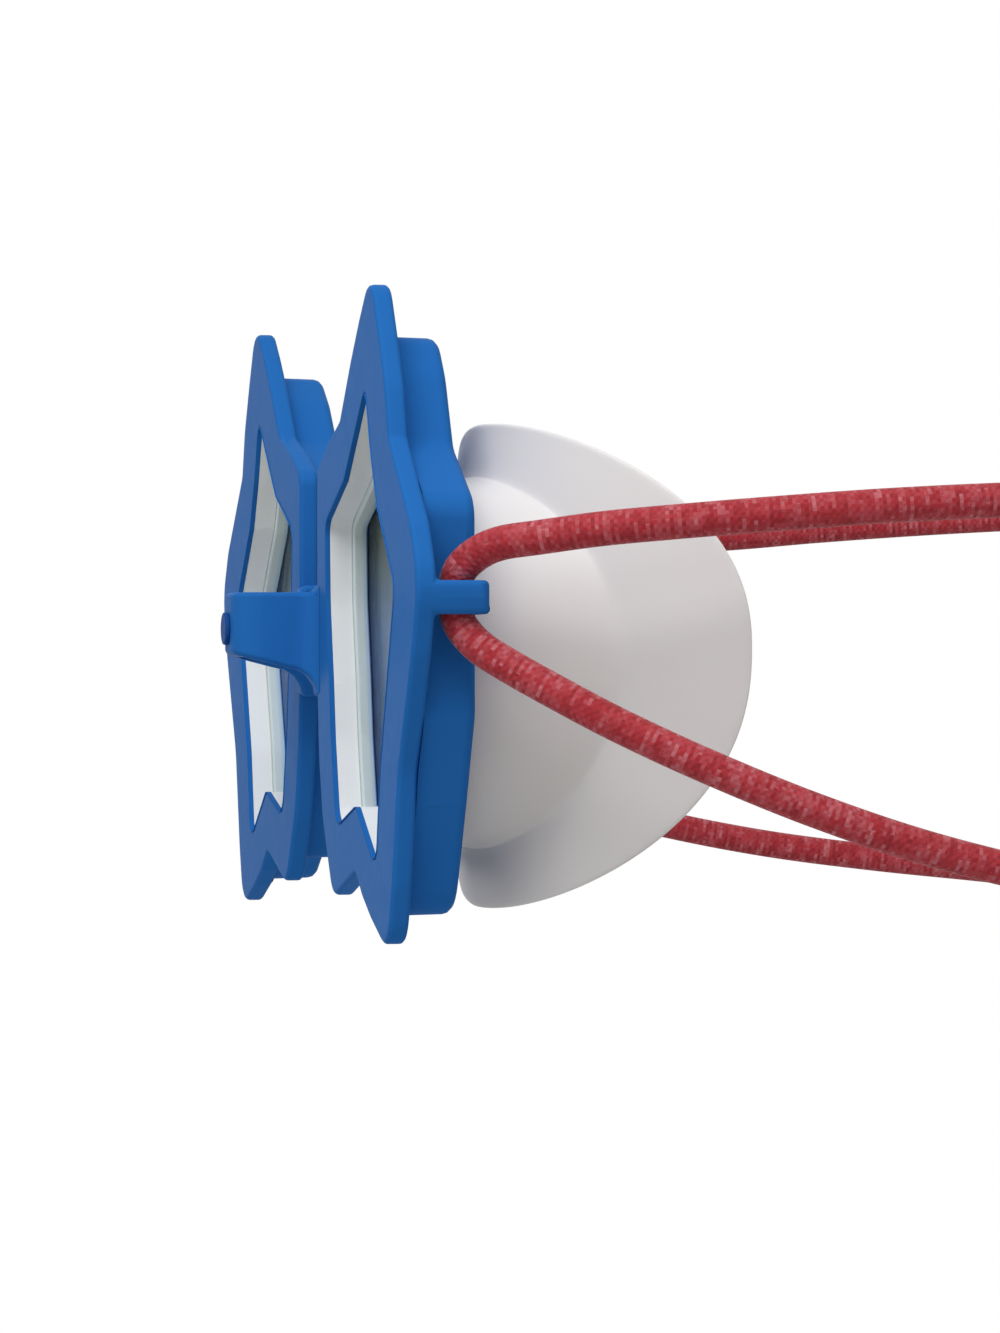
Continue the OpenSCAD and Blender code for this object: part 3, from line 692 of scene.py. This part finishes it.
print("points in a ring:", len(rim), "depth of the face side:", seal_y(rim[:, 0]).round(1).max())

# %% [markdown]
# The skin runs up the outside of the cup, out along the front of the flange, round its rim and
# back along the face side to the inside of the cup. Where the wall turns into the flange the
# rings lie close together, which leaves the soft crease of the real cup. Behind the lens the cup
# ends in a flat flange with the window's outline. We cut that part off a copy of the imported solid
# with Bisect. The cut leaves two open ovals, one in the other, so their edges are selected and
# Bridge Edge Loops closes the ring between them. The flange is then joined to the skin.


# %% Eye cups
cut_margin = 0.02


def cut_flange():
    """Keeps the flange in front of the cup's wall and closes the ring where the wall began."""
    cut_place = (0, (clamp_end + cut_margin - face_depth) * MM, 0)
    bpy.ops.mesh.bisect(plane_co=cut_place, plane_no=(0, 1, 0), clear_outer=True)
    bpy.ops.mesh.select_mode(type="EDGE")
    bpy.ops.mesh.select_all(action="DESELECT")
    bpy.ops.mesh.select_non_manifold(
        extend=False, use_wire=False, use_boundary=True, use_multi_face=False,
        use_non_contiguous=False, use_verts=False)
    bpy.ops.mesh.bridge_edge_loops()
    bpy.ops.mesh.select_mode(type="VERT")


def eye_cup(side, way):
    """The soft skin of one cup, joined to the flange behind the lens."""
    rings = [
        level(collar, skin_start), level(collar, housing_end),
        rising(collar, neck, 0.25), rising(collar, neck, 0.5), rising(collar, neck, 0.75),
        rising(collar, neck, 0.9), rising(collar, neck, 0.97), lying(0.03, neck_t * 1.12),
        lying(0.08, neck_t), lying(0.18, neck_t * 0.92), lying(0.35, neck_t * 0.82),
        lying(0.55, neck_t * 0.7), lying(0.75, rim_t * 1.15), lying(0.9, rim_t),
        lying(0.975, rim_t * 0.95), lying(1.0, rim_t * 0.65), lying(1.0, rim_t * 0.3),
        lying(0.975, 0), lying(0.9, 0), lying(0.75, 0), lying(0.5, 0), lying(0.25, 0),
        lying(0.1, neck_t * 0.08), lying(0.0, neck_t * 0.35),
        rising(collar_in, neck_in, 0.9), rising(collar_in, neck_in, 0.6),
        rising(collar_in, neck_in, 0.3), level(collar_in, housing_end),
        level(collar_in, skin_start), level(collar, skin_start)]
    skin = rolled_grid(f"{side}_eye_cup", np.array(rings) * np.array([way, 1, 1]) * MM)
    modify(skin, "SUBSURF", levels=1, render_levels=1)
    shade(skin, 60)
    flange = softened(f"{side}_face_gasket", 0)
    edit(flange, cut_flange)
    only(skin)
    flange.select_set(True)
    bpy.ops.object.join()
    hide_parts(f"{side}_face_gasket")
    return skin


for side, way in SIDES.items():
    cup = eye_cup(side, way)
    dress(cup, soft_gasket)
    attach(cup, f"{side}_half")
    print(cup.name, "faces:", len(cup.data.polygons))

# %% [markdown]
# The nose bridge is one arch of the same blue silicone, moulded with broad round edges. It is the
# hinge of the goggles: when the halves fold, the arch bends. Bisect cuts it across its front in
# narrow strips, so that it can bend in a curve. The plain oval pad sits at its front.

# %% Nose bridge and pad
bend_half = 4.5 * MM
strip_wide = 0.75 * MM
strip_edges = np.arange(-bend_half, bend_half + strip_wide / 2, strip_wide)
strips = [((x, 0, 0), (1, 0, 0)) for x in strip_edges]
bridge = softened("nose_bridge", 0.6, segments=4, cuts=strips)
dress(bridge, blue_silicone)
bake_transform(bridge)
pad = softened("bridge_pad", 0.18)
dress(pad, blue_pad)
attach(pad, "right_half")
print("strips across the arch:", len(strips) - 1)

# %% [markdown]
# The cord lock is a barrel with two cross holes. A spring pushes its button up and so pinches both
# cords; press the button and they slide. The barrel and the button are softened copies. The spring
# is hidden in the well of the barrel: a small circle is wound up by a Screw modifier, which turns
# and lifts an outline at once. It gets shorter as the button goes down.

# %% Cord lock
lock_middle = Vector((0, 0.164, -0.0375))
lock_pieces = [("cord_lock_body", "cord_lock", 0.25), ("cord_lock_button", "lock_button", 0.2)]
for node, body, edge in lock_pieces:
    piece = softened(node, edge, angle=50)
    dress(piece, dark_plastic)
    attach(piece, body)

spring_radius = 3.3 * MM
spring_wire = 0.7 * MM
spring_turns = 4
low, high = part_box("cord_lock_spring")
bpy.ops.object.select_all(action="DESELECT")
bpy.ops.mesh.primitive_circle_add(
    vertices=12, radius=spring_wire / 2, location=(spring_radius, 0, 0),
    rotation=(math.pi / 2, 0, 0))
spring = bpy.context.object
spring.name = "lock_spring_wire"
bpy.ops.object.transform_apply(location=True, rotation=True, scale=True)
modify(spring, "SCREW", axis="Z", angle=2 * math.pi, iterations=spring_turns, steps=32,
       render_steps=32, screw_offset=(high.z - low.z - spring_wire) / spring_turns)
edit(spring, lambda: bpy.ops.mesh.fill_holes(sides=0),
     lambda: bpy.ops.mesh.normals_make_consistent(inside=False))
spring.location = (lock_middle.x, lock_middle.y, low.z + spring_wire / 2)
only(spring)
bpy.ops.object.transform_apply(location=True, rotation=True, scale=True)
shade(spring, 50)
dress(spring, spring_steel)
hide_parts("cord_lock_spring")
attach(spring, "cord_lock")
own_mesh(spring)
print("spring turns:", spring_turns, "lock pieces:", len(lock_pieces))

# %% [markdown]
# Each end of the cord sits in a turned bead, so that the lock can't slip off.

# %% Cord ends
for side in SIDES:
    bead = softened(f"cord_end_{side}", 0.2, angle=50)
    dress(bead, dark_plastic)
    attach(bead, "right_half")

# %% [markdown]
# Last the cords get their weave. The long upper piece and the right lower cord ride on the right
# half. The short upper piece and the mirrored left cord are baked into place and ride on no body.

# %% Cords get their weave and ride
for cord in (upper_long, upper_short, lower_right, lower_left):
    dress(cord, red_weave)
for cord in (upper_long, lower_right):
    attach(cord, "right_half")
for cord in (upper_short, lower_left):
    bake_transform(cord)
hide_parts("strap_upper")
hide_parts("strap_upper")
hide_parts("strap_lower_right")
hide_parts("strap_lower_left")

# %% [markdown]
# The studio is plain and bright. The world is white where the camera, a reflection or a
# refraction looks at it, and a softer grey where it lights the parts. So the background stays
# white and pale parts don't bleach.

# %% World
world = bpy.data.worlds.new("studio")
bpy.context.scene.world = world
world.use_nodes = True
background = world.node_tree.nodes["Background"]
background.inputs["Color"].default_value = (1, 1, 1, 1)
rays = world.node_tree.nodes.new("ShaderNodeLightPath")
ambient = 0.38


def world_math(operation, a, b):
    """One step of arithmetic in the world's node tree."""
    node = world.node_tree.nodes.new("ShaderNodeMath")
    node.operation = operation
    for socket, value in zip(node.inputs, (a, b)):
        if isinstance(value, bpy.types.NodeSocket):
            world.node_tree.links.new(value, socket)
        else:
            socket.default_value = value
    return node.outputs[0]


seen = world_math("MAXIMUM", rays.outputs["Is Camera Ray"], rays.outputs["Is Glossy Ray"])
seen = world_math("MAXIMUM", seen, rays.outputs["Is Transmission Ray"])
strength = world_math("ADD", world_math("MULTIPLY", seen, 1 - ambient), ambient)
world.node_tree.links.new(strength, background.inputs["Strength"])
print("world light:", ambient)

# %% [markdown]
# One large soft lamp stands above and beside the goggles, quite near. Near light falls off down
# the object, so upper faces come out lighter than lower ones, as in the photo. A weaker lamp fills
# in from the front.


# %% Lamps
def lamp(name, place, aim, size, watts):
    """A square soft lamp that looks at a point."""
    turn = (Vector(aim) - Vector(place)).to_track_quat("-Z", "Y").to_euler()
    bpy.ops.object.light_add(type="AREA", location=place, rotation=turn)
    made = bpy.context.object
    made.name = name
    made.data.size = size
    made.data.energy = watts


middle = (0.03, 0.03, -0.01)
lamp("top_lamp", (0.3, -0.15, 0.42), middle, 0.4, 2.0)
lamp("front_lamp", (0.5, -0.7, 0.4), middle, 0.6, 0.8)

# %% [markdown]
# A pale floor lies well below, out of the camera's picture. It throws a little light back up.

# %% Floor
floor_drop = -0.19
floor_radius = 0.55
bpy.ops.object.select_all(action="DESELECT")
bpy.ops.mesh.primitive_circle_add(vertices=96, radius=floor_radius, fill_type="NGON",
                                  location=(0, 0.05, floor_drop))
floor = bpy.context.object
floor.name = "floor"
floor_finish = Finish("pale_floor", "DCDCDA", Roughness=0.7)
floor.data.materials.append(floor_finish.material)
print("floor at", floor_drop, "m")

# %% [markdown]
# The colours are shown plainly, without a film look.

# %% Finish
bpy.context.scene.view_settings.view_transform = "Standard"
